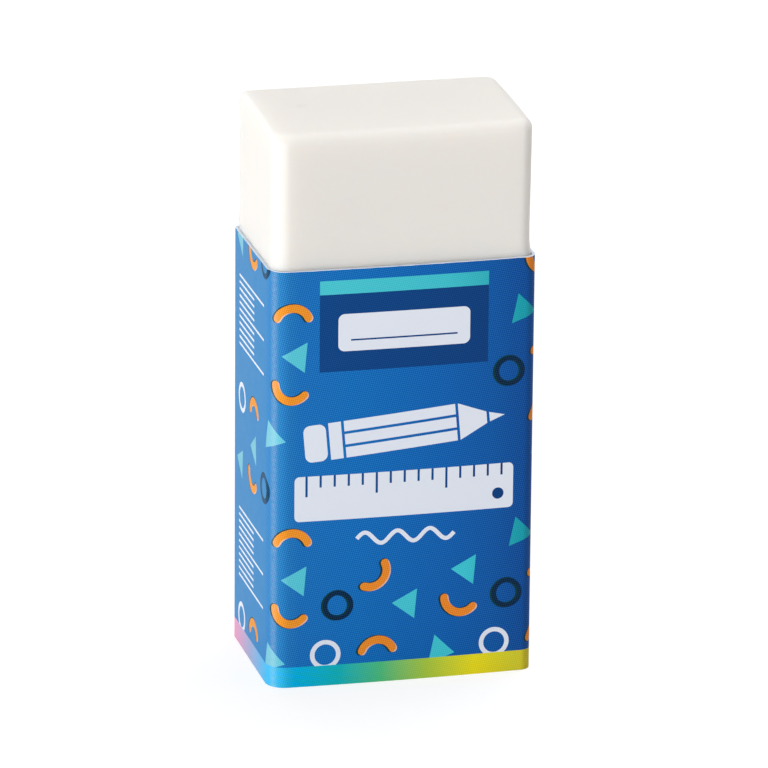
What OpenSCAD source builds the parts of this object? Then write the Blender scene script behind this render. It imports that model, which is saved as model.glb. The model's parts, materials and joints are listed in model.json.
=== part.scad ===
// Small block eraser in a printed card sleeve, standing on end.
//
// All sizes are in millimetres. +Z runs up the length of the block, X is its width and
// the broad front face looks towards -Y. The origin is the middle of the footprint.
// The block is one moulded piece. The sleeve is one sheet of card, folded into an open
// tube round the block: the glue flap turns in behind the left panel, and the back panel
// is stuck down over it, so the back is two layers thick there. The broad panels bow out
// a little between their folds. The sleeve is a snug slip fit, which slides up along the
// block and off its top. Its print is a film of ink that stands just proud of the card:
// a label field, a confetti pattern that repeats like wallpaper, and a band at the foot.

/* [Eraser block] */
// Width of the block, across its broad faces
block_w = 18.5; // [14:0.1:40]
// Thickness of the block, from front to back
block_d = 11.2; // [8:0.1:30]
// Height of the block, standing on end
block_h = 40.6; // [34:0.1:80]
// Radius of the four long edges
long_edge_r = 1.2; // [0.6:0.1:3]
// Radius of the edges round the two ends, at most that of the long edges
end_edge_r = 1.1; // [0.3:0.1:1.2]

/* [Card sleeve] */
// Height of the sleeve
sleeve_h = 30.5; // [16:0.1:34]
// Thickness of the card
card_t = 0.2; // [0.1:0.05:0.4]
// Inner radius of the folds, at most that of the long edges of the block
fold_r = 1.1; // [0.2:0.1:1.2]
// How far the broad panels bow out at their middle
panel_bow = 0.15; // [0.05:0.05:0.3]
// Width of the glue flap, from the outside of the left panel
glue_flap_w = 7; // [3:0.5:13]
// Distance of the back panel's raw edge from the start of the fold that it lies against
seam_gap = 0.2; // [0.1:0.1:2]

/* [Fit] */
// Clearance between the block and the card, on each side
slip_clearance = 0.04; // [0.02:0.01:0.3]
// Height of the sleeve's foot above the foot of the block
sleeve_lift = 0; // [0:0.5:6]

/* [Print] */
// Thickness of the ink on the card
ink_t = 0.02; // [0.01:0.01:0.05]
// Height of the coloured band round the foot
band_h = 1.5; // [0.5:0.1:4]
// Width of the label field
label_w = 12.1; // [6:0.1:13]
// Height of the label field, with its bar
label_h = 6.6; // [3:0.1:10]
// Height of the bar along the top of the label field
label_bar_h = 1.0; // [0.3:0.1:2]
// Distance of the label field from the sleeve's upper edge
label_drop = 0.8; // [0.3:0.1:3]
// Width of the line in the arcs and rings
stroke_w = 0.6; // [0.3:0.05:0.9]
// Radius of the arcs, along the middle of their line
arc_r = 1.2; // [0.8:0.1:1.6]
// Radius of the rings, along the middle of their line
ring_r = 0.9; // [0.6:0.1:1.3]
// Distance from the centre of a triangle to its corners
triangle_r = 1.15; // [0.7:0.05:1.5]

/* [Hidden] */

$fn = 36;

// The rounding at the ends can't be larger than that of the long edges it runs into
rim_r = min(end_edge_r, long_edge_r);
// The card can't fold rounder than the block's own edge, or it would rub there
fold_in_r = min(fold_r, long_edge_r);
fold_out_r = fold_in_r + card_t;

// Half width of the space inside the sleeve, and of the sleeve's outside
inner_x = block_w / 2 + slip_clearance;
outer_x = inner_x + card_t;

// From front to back: front panel, clearance, block, clearance, glue flap, back panel
sleeve_d = block_d + 2 * slip_clearance + 3 * card_t;
front_y = -sleeve_d / 2;
front_in_y = front_y + card_t;
block_y = front_in_y + slip_clearance + block_d / 2;
back_y = sleeve_d / 2;
back_in_y = back_y - card_t;
flap_in_y = back_in_y - card_t;

// Centres of the folds, which stand in by the inner radius
fold_x = inner_x - fold_in_r;
fold_front_y = front_in_y + fold_in_r;
fold_back_y = back_in_y - fold_in_r;
fold_flap_y = flap_in_y - fold_in_r;

// Radius of the flat arc that a broad panel follows, and the steps that draw it smooth
bow_r = (fold_x * fold_x + panel_bow * panel_bow) / (2 * panel_bow);
bow_fn = 720;

// Ends of the two layers that overlap at the back
seam_x = -fold_x + seam_gap;
flap_end_x = -outer_x + glue_flap_w;

// The ink film starts half way down in the card, so that card and ink are one piece
ink_bite = card_t / 2;
// The confetti stops this far short of the folds
fold_gap = 0.05;

// Lengths along the outside of the sheet, from the middle of the front panel
fold_run = PI / 2 * fold_out_r;
side_s = fold_x + fold_run - fold_front_y;
back_s = 2 * (fold_x + fold_run) + fold_back_y - fold_front_y;

// Each panel: turn about Z, distance to its face, and its middle's place along the sheet
PANELS = [
    [0, -front_y, 0],
    [90, outer_x, side_s],
    [180, back_y, back_s],
    [-90, outer_x, -side_s],
];

// One tile of the confetti: kind, place along the sheet, height and turn
TILE_W = 12.2;
TILE_H = 16.4;
TILE = [
    ["triangle", -9.3, 2.4, -12],
    ["white_ring", -5.5, 2.3, 0],
    ["arc", -1.7, 2.4, 182],
    ["dark_ring", -4.6, 5.9, 0],
    ["triangle", 0.4, 5.6, 175],
    ["arc", -8.1, 5.7, -23],
    ["triangle", -7.5, 7.9, 175],
    ["arc", -2.1, 8.0, 48],
    ["arc", -7.9, 10.6, 180],
    ["triangle", -3.7, 10.3, -12],
    ["arc", -2.2, 13.8, -18],
    ["dark_ring", -10.4, 14.4, 0],
    ["triangle", -5.9, 13.8, 175],
    ["triangle", -1.7, 16.1, 183],
];

// Fields along the sheet that the confetti leaves clear: from, to, lowest and highest
CLEAR = [
    [-6.5, 7.5, 9.3, 40],
    [-9.4, 10.3, 12, 17],
    [-21.5, -9.9, 4.6, 11.5],
    [-21.5, -9.9, 21, 27.6],
];

// Colours of the foot band, from the left fold of the front panel to the right one
BAND_HUES = ["deepskyblue", "darkturquoise", "mediumseagreen", "yellowgreen", "gold"];

white_vinyl = "ivory";
printed_blue = "royalblue";

// Colour of each kind of motif
function motif_hue(kind) =
    kind == "arc" ? "darkorange"
    : kind == "triangle" ? "mediumturquoise"
    : kind == "dark_ring" ? "midnightblue"
    : "white";

// Whether a place on the sheet is in one of the clear fields
function is_clear(s, z) =
    max([for (f = CLEAR) s > f[0] && s < f[1] && z > f[2] && z < f[3] ? 1 : 0]) > 0;

// Rectangle between two corners
module span(x0, y0, x1, y1) {
    translate([x0, y0]) square([x1 - x0, y1 - y0]);
}

// Half section of the block's rounded side, from the plane x = 0 out to x = reach
module side_profile(reach) {
    difference() {
        square([reach, block_h]);
        for (end = [0, 1])
            translate([reach - rim_r, end == 0 ? rim_r : block_h - rim_r])
                difference() {
                    translate([0, end == 0 ? -rim_r : 0]) square(rim_r);
                    circle(r = rim_r);
                }
    }
}

// One quarter turn of the rounded side, at a corner of the block
module corner_column() {
    rotate_extrude(angle = 90) side_profile(long_edge_r);
}

// Straight stretch of the rounded side, which runs along +Y for the given length
module side_slab(length) {
    translate([0, length, 0])
        rotate([90, 0, 0])
            linear_extrude(length) side_profile(long_edge_r);
}

// Moulded block: four round corners, the four sides between them and the middle
module eraser_block() {
    flat_w = block_w - 2 * long_edge_r;
    flat_d = block_d - 2 * long_edge_r;
    color(white_vinyl)
        translate([0, block_y, 0])
            union() {
                translate([-flat_w / 2, -flat_d / 2, 0]) cube([flat_w, flat_d, block_h]);
                for (turn = [0, 180])
                    rotate(turn) {
                        translate([flat_w / 2, -flat_d / 2, 0]) side_slab(flat_d);
                        translate([flat_w / 2, flat_d / 2, 0]) corner_column();
                        translate([flat_w / 2, flat_d / 2, 0])
                            rotate(90) side_slab(flat_w);
                        translate([-flat_w / 2, flat_d / 2, 0]) rotate(90) corner_column();
                    }
            }
}

// Section of one fold: a quarter ring round its centre, in the quadrant that turn gives
module fold(x, y, turn, inside_r, outside_r) {
    translate([x, y])
        rotate(turn)
            intersection() {
                difference() {
                    circle(r = outside_r);
                    circle(r = inside_r);
                }
                square(outside_r);
            }
}

// Section of a bowed layer from x0 to x1: its outside is at y_out by the folds
module bowed_layer(x0, x1, y_out, thickness) {
    side = y_out < 0 ? -1 : 1;
    centre_y = y_out + side * (panel_bow - bow_r);
    intersection() {
        difference() {
            translate([0, centre_y]) circle(r = bow_r, $fn = bow_fn);
            translate([0, centre_y - side * thickness]) circle(r = bow_r, $fn = bow_fn);
        }
        span(x0, min(0, side * sleeve_d), x1, max(0, side * sleeve_d));
    }
}

// Section of the whole sheet, folded round the block and lapped at the back
module sheet_section() {
    bowed_layer(-fold_x, fold_x, front_y, card_t);
    span(-outer_x, fold_front_y, -inner_x, fold_flap_y);
    span(inner_x, fold_front_y, outer_x, fold_back_y);
    bowed_layer(-fold_x, seam_x, back_in_y, card_t);
    bowed_layer(seam_x, flap_end_x, back_y, 2 * card_t);
    bowed_layer(flap_end_x, fold_x, back_y, card_t);
    fold(-fold_x, fold_front_y, 180, fold_in_r, fold_out_r);
    fold(fold_x, fold_front_y, 270, fold_in_r, fold_out_r);
    fold(fold_x, fold_back_y, 0, fold_in_r, fold_out_r);
    fold(-fold_x, fold_flap_y, 90, fold_in_r, fold_out_r);
}

// Section of the ink film: it follows the printed outside of the sheet up to its raw edge
module ink_section() {
    film = ink_bite + ink_t;
    film_in_r = fold_out_r - ink_bite;
    film_out_r = fold_out_r + ink_t;
    bowed_layer(-fold_x, fold_x, front_y - ink_t, film);
    span(-outer_x - ink_t, fold_front_y, -outer_x + ink_bite, fold_flap_y);
    span(outer_x - ink_bite, fold_front_y, outer_x + ink_t, fold_back_y);
    bowed_layer(seam_x, fold_x, back_y + ink_t, film);
    fold(-fold_x, fold_front_y, 180, film_in_r, film_out_r);
    fold(fold_x, fold_front_y, 270, film_in_r, film_out_r);
    fold(fold_x, fold_back_y, 0, film_in_r, film_out_r);
}

// Arc with round ends, open towards +Y, about the middle of its chord
module arc_motif() {
    half_angle = 68;
    reach = 4 * arc_r;
    translate([0, arc_r * cos(half_angle)]) {
        intersection() {
            difference() {
                circle(r = arc_r + stroke_w / 2);
                circle(r = arc_r - stroke_w / 2);
            }
            polygon([
                [0, 0],
                [-reach * sin(half_angle), -reach * cos(half_angle)],
                [reach * sin(half_angle), -reach * cos(half_angle)],
            ]);
        }
        for (side = [0, 1])
            mirror([side, 0])
                rotate(half_angle - 90)
                    translate([arc_r, 0])
                        intersection() {
                            circle(r = stroke_w / 2);
                            span(-stroke_w, 0, stroke_w, stroke_w);
                        }
    }
}

// Ring about its centre
module ring_motif() {
    difference() {
        circle(r = ring_r + stroke_w / 3);
        circle(r = ring_r - stroke_w / 3);
    }
}

// Triangle about its centre, with a corner towards +X
module triangle_motif() {
    circle(r = triangle_r, $fn = 3);
}

// One motif of the given kind, drawn with fewer steps as there are so many of them
module motif(kind) {
    $fn = 20;
    if (kind == "arc") arc_motif();
    if (kind == "triangle") triangle_motif();
    if (kind == "dark_ring" || kind == "white_ring") ring_motif();
}

// All motifs of one kind on one panel, drawn flat about the panel's middle
module panel_confetti(kind, middle_s, reach) {
    first = floor((middle_s - reach) / TILE_W);
    last = ceil((middle_s + reach) / TILE_W) + 1;
    for (column = [first:last], row = [0:floor(sleeve_h / TILE_H)], m = TILE) {
        s = m[1] + column * TILE_W;
        z = m[2] + row * TILE_H;
        if (m[0] == kind && abs(s - middle_s) < reach && !is_clear(s, z))
            translate([s - middle_s, z]) rotate(m[3]) motif(kind);
    }
}

// Prisms of one kind of motif on the flats of all panels, deep enough to cut the ink film
module through_panels(kind) {
    for (p = PANELS) {
        flat_w = p[0] % 180 == 0 ? fold_x : fold_flap_y;
        half_w = flat_w - fold_gap;
        rotate(p[0])
            translate([0, -p[1] + card_t, 0])
                rotate([90, 0, 0])
                    linear_extrude(card_t + panel_bow + 1)
                        intersection() {
                            panel_confetti(kind, p[2], half_w + arc_r);
                            span(-half_w, band_h, half_w, sleeve_h);
                        }
    }
}

// One kind of motif in ink, all round the sleeve
module confetti_ink(kind) {
    color(motif_hue(kind))
        intersection() {
            linear_extrude(sleeve_h) ink_section();
            through_panels(kind);
        }
}

// Rectangle of ink on the front panel, centred on it, between two heights
module front_field(hue, width, z0, z1) {
    color(hue)
        intersection() {
            translate([-width / 2, front_y - panel_bow - 1, z0])
                cube([width, panel_bow + 1 + card_t, z1 - z0]);
            linear_extrude(sleeve_h)
                bowed_layer(-fold_x, fold_x, front_y - ink_t, ink_bite + ink_t);
        }
}

// Label field with the bar along its top
module label_ink() {
    top = sleeve_h - label_drop;
    front_field("midnightblue", label_w, top - label_h, top - label_bar_h);
    front_field("mediumturquoise", label_w, top - label_bar_h, top);
}

// Band round the foot, whose colours change across the front panel
module foot_band() {
    step = 2 * outer_x / len(BAND_HUES);
    color("orchid")
        intersection() {
            linear_extrude(band_h) ink_section();
            translate([-2 * outer_x, fold_front_y, 0])
                cube([4 * outer_x, sleeve_d, band_h]);
        }
    for (i = [0:len(BAND_HUES) - 1])
        color(BAND_HUES[i])
            intersection() {
                linear_extrude(band_h) ink_section();
                translate([-outer_x - ink_t + i * (step + ink_t / 2), -sleeve_d, 0])
                    cube([step + ink_t / 2, sleeve_d + fold_front_y, band_h]);
            }
}

// Folded and printed card sleeve, open at both ends
module card_sleeve() {
    translate([0, 0, sleeve_lift]) {
        color(printed_blue) linear_extrude(sleeve_h) sheet_section();
        for (kind = ["arc", "triangle", "dark_ring", "white_ring"]) confetti_ink(kind);
        label_ink();
        foot_band();
    }
}

eraser_block();
card_sleeve();
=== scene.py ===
"""Looks of a small block eraser in a printed card sleeve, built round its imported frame.

The frame is in metres: +Z runs up the block, the broad front face looks towards -Y, and the
eraser stands on the plane z = 0. The print is laid out on the sheet of card before it is
folded, in millimetres: s runs along the sheet from the middle of the front panel towards
+X, and z is the height. Geometry Nodes repeat the confetti and the tick marks there, and
fold the finished sheet round the block.
"""

import json
import logging
import math
from collections.abc import Callable, Iterable, Sequence
from dataclasses import dataclass, field
from enum import Enum

import bpy
from mathutils import Matrix, Vector, noise
from mathutils.geometry import delaunay_2d_cdt

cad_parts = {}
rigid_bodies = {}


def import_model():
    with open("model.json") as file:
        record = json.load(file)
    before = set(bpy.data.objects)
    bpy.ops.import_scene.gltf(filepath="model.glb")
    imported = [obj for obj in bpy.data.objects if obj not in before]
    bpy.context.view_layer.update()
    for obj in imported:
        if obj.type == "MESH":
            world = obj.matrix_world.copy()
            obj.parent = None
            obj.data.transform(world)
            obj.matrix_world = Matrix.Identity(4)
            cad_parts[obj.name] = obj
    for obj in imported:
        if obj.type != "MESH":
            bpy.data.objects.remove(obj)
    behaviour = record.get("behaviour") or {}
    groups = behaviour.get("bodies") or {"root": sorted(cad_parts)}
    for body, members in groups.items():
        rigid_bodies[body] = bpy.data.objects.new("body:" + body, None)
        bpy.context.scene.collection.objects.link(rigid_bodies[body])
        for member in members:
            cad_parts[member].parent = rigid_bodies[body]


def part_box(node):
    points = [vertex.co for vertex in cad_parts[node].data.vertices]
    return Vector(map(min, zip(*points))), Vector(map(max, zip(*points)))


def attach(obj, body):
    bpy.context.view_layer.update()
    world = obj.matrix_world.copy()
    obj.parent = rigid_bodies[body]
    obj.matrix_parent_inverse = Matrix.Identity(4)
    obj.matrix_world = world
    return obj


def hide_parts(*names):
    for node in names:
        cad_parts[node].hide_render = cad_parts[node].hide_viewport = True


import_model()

LOG = logging.getLogger("eraser")
MM = 0.001

Colour = tuple[float, float, float]
Point = tuple[float, float]
Outline = list[Point]
Socket = bpy.types.NodeSocket
Node = bpy.types.Node
Tree = bpy.types.NodeTree
Material = bpy.types.Material
Mesh = bpy.types.Mesh


def add_node(tree: Tree, kind: str, inputs: dict | None = None, **settings) -> Node:
    """Adds a node to a tree, sets its properties, and links or fills its inputs.

    Args:
        tree: The tree that gets the node.
        kind: Blender's name for the kind of node.
        inputs: Values by input name or number. An output of another node is linked.
        **settings: Properties of the node, such as its operation.

    Returns:
        The new node.
    """
    made = tree.nodes.new(kind)
    for name, value in settings.items():
        setattr(made, name, value)
    for name, value in (inputs or {}).items():
        if isinstance(value, Socket):
            tree.links.new(value, made.inputs[name])
        else:
            made.inputs[name].default_value = value
    return made


def math_node(tree: Tree, operation: str, *values: object) -> Socket:
    """Adds a Math node.

    Args:
        tree: The tree that gets the node.
        operation: The operation, such as ADD.
        *values: A number or another node's output for each input.

    Returns:
        The node's output.
    """
    inputs = dict(enumerate(values))
    return add_node(tree, "ShaderNodeMath", inputs, operation=operation).outputs[0]


def mix_colours(tree: Tree, share: object, first: object, second: object, blend: str = "MIX") -> Socket:
    """Adds a node that mixes two colours.

    Args:
        tree: The tree that gets the node.
        share: The share of the second colour, as a number or an output.
        first: The first colour, or an output.
        second: The second colour, or an output.
        blend: How they mix.

    Returns:
        The mixed colour.
    """
    factor_input, first_input, second_input, result = 0, 6, 7, 2
    inputs = {factor_input: share, first_input: opaque(first), second_input: opaque(second)}
    return add_node(tree, "ShaderNodeMix", inputs, data_type="RGBA", blend_type=blend).outputs[result]


def tinted(tree: Tree, colour: object, tint: Colour) -> Socket:
    """Adds a node that multiplies a colour by a tint, which may be brighter than white."""
    return mix_colours(tree, 1.0, colour, tint, blend="MULTIPLY")


def opaque(colour: object) -> object:
    """Gives a plain colour its fourth number, and leaves a node's output as it is."""
    return (*colour, 1.0) if isinstance(colour, tuple) else colour


def grey(level: float) -> tuple[float, float, float, float]:
    """An opaque grey."""
    return (level, level, level, 1.0)


def noise_share(
    tree: Tree, place: Socket, scale: float, detail: float = 2.0, roughness: float = 0.5
) -> Socket:
    """Adds a cloudy noise, and returns its output, which is mostly near one half."""
    inputs = {"Vector": place, "Scale": scale, "Detail": detail, "Roughness": roughness}
    return add_node(tree, "ShaderNodeTexNoise", inputs).outputs[0]


def ranged(
    tree: Tree, value: Socket, source: Point, target: Point = (0.0, 1.0), smooth: bool = False
) -> Socket:
    """Adds a node that maps one range to another and clamps what lies past it.

    Args:
        tree: The tree that gets the node.
        value: What is mapped.
        source: The two ends of the range that it has.
        target: What they become.
        smooth: Whether it eases in and out between them.

    Returns:
        The mapped value.
    """
    inputs = {
        "Value": value,
        "From Min": source[0],
        "From Max": source[1],
        "To Min": target[0],
        "To Max": target[1],
    }
    kind = "SMOOTHSTEP" if smooth else "LINEAR"
    return add_node(tree, "ShaderNodeMapRange", inputs, interpolation_type=kind).outputs[0]


def add_bump(tree: Tree, shader: Node, height: Socket, strength: float, depth: float) -> None:
    """Roughens a shader's surface.

    Args:
        tree: The material's tree.
        shader: Its shader.
        height: The height of the surface, from 0 to 1.
        strength: How much of it is shown.
        depth: What a height of 1 stands for, in metres.
    """
    inputs = {"Strength": strength, "Distance": depth, "Height": height}
    bump = add_node(tree, "ShaderNodeBump", inputs)
    tree.links.new(bump.outputs[0], shader.inputs["Normal"])


def emptied_tree(owner: Material | bpy.types.World) -> Tree:
    """Gives a material or a world a node tree with nothing in it.

    Args:
        owner: The material or the world.

    Returns:
        The empty tree.
    """
    owner.use_nodes = True
    owner.node_tree.nodes.clear()
    return owner.node_tree


def new_material(name: str) -> tuple[Material, Tree, Node]:
    """Makes a material with a Principled shader.

    Args:
        name: The material's name.

    Returns:
        The material, its node tree and its shader.
    """
    material = bpy.data.materials.new(name)
    tree = emptied_tree(material)
    shader = add_node(tree, "ShaderNodeBsdfPrincipled")
    add_node(tree, "ShaderNodeOutputMaterial", {"Surface": shader.outputs[0]})
    return material, tree, shader


def object_point(tree: Tree) -> Socket:
    """Adds the coordinates of the object, which are metres in the frame."""
    return add_node(tree, "ShaderNodeTexCoord").outputs["Object"]


class GeometryTree:
    """A Geometry Nodes tree that is built in code, with named inputs."""

    def __init__(self, name: str) -> None:
        """Starts a tree with one geometry input and one geometry output.

        Args:
            name: The tree's name.
        """
        self.tree = bpy.data.node_groups.new(name, "GeometryNodeTree")
        self.identifiers: dict[str, str] = {}
        self.entry = self.tree.nodes.new("NodeGroupInput")
        self.exit = self.tree.nodes.new("NodeGroupOutput")
        self.add_input("Geometry", "NodeSocketGeometry")
        self.tree.interface.new_socket("Geometry", in_out="OUTPUT", socket_type="NodeSocketGeometry")

    def add_input(self, name: str, socket_type: str = "NodeSocketFloat") -> Socket:
        """Adds a named input, and returns the output of the group's input node that carries it."""
        item = self.tree.interface.new_socket(name, in_out="INPUT", socket_type=socket_type)
        self.identifiers[name] = item.identifier
        return self.entry.outputs[name]

    def node(self, kind: str, inputs: dict | None = None, **settings) -> Node:
        """Adds a node, as add_node does."""
        return add_node(self.tree, kind, inputs, **settings)

    def math(self, operation: str, *values: object) -> Socket:
        """Adds a Math node, as math_node does."""
        return math_node(self.tree, operation, *values)

    def named_number(self, name: str, data_type: str) -> Socket:
        """Adds a node that reads a number from a named attribute, and returns its output."""
        return self.node("GeometryNodeInputNamedAttribute", {"Name": name}, data_type=data_type).outputs[0]

    def is_equal(self, value: Socket, number: int) -> Socket:
        """Adds a test whether a whole number has a given value, and returns its output."""
        first_input, second_input = 2, 3
        inputs = {first_input: value, second_input: number}
        return self.node("FunctionNodeCompare", inputs, data_type="INT", operation="EQUAL").outputs[0]

    def close(self, geometry: Socket, attribute: str, materials: Sequence[Material]) -> None:
        """Ends the tree: instances become real, and each face gets the material that an attribute gives.

        Args:
            geometry: What the tree has made so far.
            attribute: The name of the attribute that holds the number of a material.
            materials: The materials, by that number.
        """
        geometry = self.node("GeometryNodeRealizeInstances", {"Geometry": geometry}).outputs[0]
        number = self.named_number(attribute, "INT")
        for i, material in enumerate(materials):
            inputs = {"Geometry": geometry, "Selection": self.is_equal(number, i), "Material": material}
            geometry = self.node("GeometryNodeSetMaterial", inputs).outputs[0]
        self.tree.links.new(geometry, self.exit.inputs[0])

    def run(self, mesh: Mesh, values: dict[str, object]) -> Mesh:
        """Runs the tree on a mesh.

        Args:
            mesh: The mesh that goes in, which is deleted afterwards.
            values: A value for each named input.

        Returns:
            The result, as a plain mesh.
        """
        carrier = new_object(self.tree.name, mesh)
        modifier = carrier.modifiers.new(self.tree.name, "NODES")
        modifier.node_group = self.tree
        for name, value in values.items():
            modifier[self.identifiers[name]] = value
        graph = bpy.context.evaluated_depsgraph_get()
        made = bpy.data.meshes.new_from_object(carrier.evaluated_get(graph), depsgraph=graph)
        bpy.data.objects.remove(carrier)
        bpy.data.meshes.remove(mesh)
        return made


def new_object(name: str, data: bpy.types.ID) -> bpy.types.Object:
    """Makes an object at the origin, in the scene.

    Args:
        name: Its name.
        data: Its mesh, light or camera.

    Returns:
        The object.
    """
    made = bpy.data.objects.new(name, data)
    bpy.context.scene.collection.objects.link(made)
    return made


def new_mesh(name: str, points: Iterable, faces: Iterable) -> Mesh:
    """Makes a mesh from points and faces."""
    mesh = bpy.data.meshes.new(name)
    mesh.from_pydata([tuple(p) for p in points], [], [tuple(f) for f in faces])
    mesh.update()
    return mesh


def add_numbers(mesh: Mesh, name: str, values: Sequence, kind: str, domain: str) -> None:
    """Stores a number for each point or face of a mesh."""
    mesh.attributes.new(name, kind, domain).data.foreach_set("value", values)


def outlines_of(mesh: Mesh) -> list[Outline]:
    """The outline of each face of a flat mesh."""
    return [[tuple(mesh.vertices[i].co[:2]) for i in face.vertices] for face in mesh.polygons]


def shifted(outline: Outline, by: Point) -> Outline:
    """An outline moved along the sheet and up."""
    return [(x + by[0], z + by[1]) for x, z in outline]


def turned(outline: Outline, degrees: float, centre: Point) -> Outline:
    """An outline turned about a centre, anticlockwise."""
    c, s = math.cos(math.radians(degrees)), math.sin(math.radians(degrees))
    near = shifted(outline, (-centre[0], -centre[1]))
    return shifted([(c * x - s * z, s * x + c * z) for x, z in near], centre)


def rectangle(x0: float, z0: float, x1: float, z1: float) -> Outline:
    """The outline of a rectangle between two corners."""
    return [(x0, z0), (x1, z0), (x1, z1), (x0, z1)]


def arc_points(centre: Point, radius: float, start: float, sweep: float, steps: int) -> Outline:
    """Points along an arc.

    Args:
        centre: The arc's centre.
        radius: Its radius.
        start: Where it starts, in degrees anticlockwise from +X.
        sweep: How far it runs, in degrees.
        steps: How many steps it has.

    Returns:
        One point more than the steps.
    """
    angles = [math.radians(start + sweep * i / steps) for i in range(steps + 1)]
    return [(centre[0] + radius * math.cos(a), centre[1] + radius * math.sin(a)) for a in angles]


def rounded_rectangle(centre: Point, width: float, height: float, radius: float) -> Outline:
    """The outline of a rectangle with round corners."""
    outline = []
    for i, (side, rise) in enumerate(((1, 1), (-1, 1), (-1, -1), (1, -1))):
        corner = (centre[0] + side * (width / 2 - radius), centre[1] + rise * (height / 2 - radius))
        outline += arc_points(corner, radius, 90 * i, 90, steps=6)
    return outline


@dataclass(frozen=True)
class FoldRadii:
    """Outer radii of the sleeve's four folds, in metres. Folds in card are never quite alike."""

    front_left: float = 1.4 * MM
    front_right: float = 0.85 * MM
    back_right: float = 1.0 * MM
    back_left: float = 0.6 * MM

    def largest(self) -> float:
        """The largest of the four."""
        return max(self.front_left, self.front_right, self.back_right, self.back_left)


@dataclass(frozen=True)
class Crease:
    """A fold of the sheet, in metres.

    Attributes:
        start: Where it starts, as a distance along the sheet from the middle of the front panel.
        radius: Its outer radius.
        side: 1 where it is on the part of the sheet towards +X, -1 on the part towards -X.
    """

    start: float
    radius: float
    side: int

    @property
    def end(self) -> float:
        """Where it ends, counted as its start is."""
        return self.start + self.radius * math.pi / 2


@dataclass(frozen=True)
class SleeveSize:
    """Sizes of the card sleeve, in metres.

    Attributes:
        half_width: From the middle to the outside of a side panel.
        half_depth: From the middle to the outside of a broad panel, next to its folds.
        height: Height of the sleeve.
        card: Thickness of the card.
        folds: Radii of the folds.
        bow: How far the broad panels bow out at their middle.
        seam_gap: Distance of the back panel's raw edge from the start of the fold that it lies against.
        flap: Width of the glue flap, from the outside of the left panel.
        glue: Room for the glue between the flap and the back panel.
    """

    half_width: float
    half_depth: float
    height: float
    card: float = 0.2 * MM
    folds: FoldRadii = FoldRadii()
    bow: float = 0.15 * MM
    seam_gap: float = 0.2 * MM
    flap: float = 7.0 * MM
    glue: float = 0.01 * MM

    @classmethod
    def from_node(cls, node: str, ink: float = 0.02 * MM) -> "SleeveSize":
        """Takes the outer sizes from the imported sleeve, whose ink stands proud of the card."""
        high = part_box(node)[1]
        return cls(half_width=high.x - ink, half_depth=high.y - ink - cls.bow, height=high.z)

    @property
    def panel_half_width(self) -> float:
        """Half the width of the broad panels between their folds."""
        return self.half_width - self.folds.largest()

    @property
    def right_front(self) -> Crease:
        """The fold between front and right panel."""
        return Crease(self.half_width - self.folds.front_right, self.folds.front_right, 1)

    @property
    def right_back(self) -> Crease:
        """The fold between right panel and back."""
        panel = 2 * self.half_depth - self.folds.front_right - self.folds.back_right
        return Crease(self.right_front.end + panel, self.folds.back_right, 1)

    @property
    def left_front(self) -> Crease:
        """The fold between front and left panel."""
        return Crease(self.half_width - self.folds.front_left, self.folds.front_left, -1)

    @property
    def left_back(self) -> Crease:
        """The fold between left panel and glue flap, which lies a card's thickness further in."""
        panel = 2 * self.half_depth - self.folds.front_left - self.folds.back_left - self.card
        return Crease(self.left_front.end + panel, self.folds.back_left, -1)

    @property
    def creases(self) -> dict[str, Crease]:
        """All folds in the order in which they are made, the outermost first."""
        return {
            "Right Back": self.right_back,
            "Right Front": self.right_front,
            "Left Back": self.left_back,
            "Left Front": self.left_front,
        }

    @property
    def seam_end(self) -> float:
        """Place along the sheet of the back panel's raw edge."""
        panel = 2 * self.half_width - self.folds.back_right - self.folds.back_left
        return self.right_back.end + panel - self.seam_gap

    @property
    def flap_end(self) -> float:
        """Place along the sheet of the glue flap's end."""
        return -(self.left_back.end + self.flap - self.folds.back_left)


class Layer(Enum):
    """What a patch of the flat sheet can lie under."""

    SHEET = 0
    GROUND = 1
    DEEP_FIELD = 2
    TURQUOISE_FIELD = 3
    WHITE_ART = 4
    LINE_ON_WHITE = 5
    WARM_ARC = 6
    WARM_PLATE = 7
    DARK_RING = 8
    WHITE_RING = 9
    TRIANGLE = 10
    FOOT_BAND = 11
    CHIPPED_EDGE = 12


Patches = list[tuple[Layer, Outline]]


class Ink(Enum):
    """What a patch of the folded sheet shows."""

    BARE_BOARD = 0
    BLUE_GROUND = 1
    DEEP_BLUE = 2
    TURQUOISE = 3
    ORANGE = 4
    PINK_FRINGE = 5
    GREEN_FRINGE = 6
    NEAR_BLACK = 7
    UNPRINTED = 8
    FOOT_BAND = 9
    CUT_EDGE = 10
    AQUA = 11


def ink_of(layers: set[Layer]) -> Ink:
    """The ink that shows where some layers of the print lie over each other."""
    if Layer.GROUND not in layers or Layer.CHIPPED_EDGE in layers:
        return Ink.BARE_BOARD
    if Layer.FOOT_BAND in layers:
        return Ink.FOOT_BAND
    if Layer.WHITE_ART in layers:
        return Ink.DEEP_BLUE if Layer.LINE_ON_WHITE in layers else Ink.UNPRINTED
    if Layer.TURQUOISE_FIELD in layers:
        return Ink.TURQUOISE
    if Layer.DEEP_FIELD in layers:
        return Ink.DEEP_BLUE
    if Layer.DARK_RING in layers:
        return Ink.NEAR_BLACK
    if Layer.WARM_ARC in layers:
        return Ink.ORANGE if Layer.WARM_PLATE in layers else Ink.PINK_FRINGE
    if Layer.WARM_PLATE in layers:
        return Ink.GREEN_FRINGE
    if Layer.WHITE_RING in layers:
        return Ink.UNPRINTED
    if Layer.TRIANGLE in layers:
        return Ink.AQUA
    return Ink.BLUE_GROUND


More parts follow.
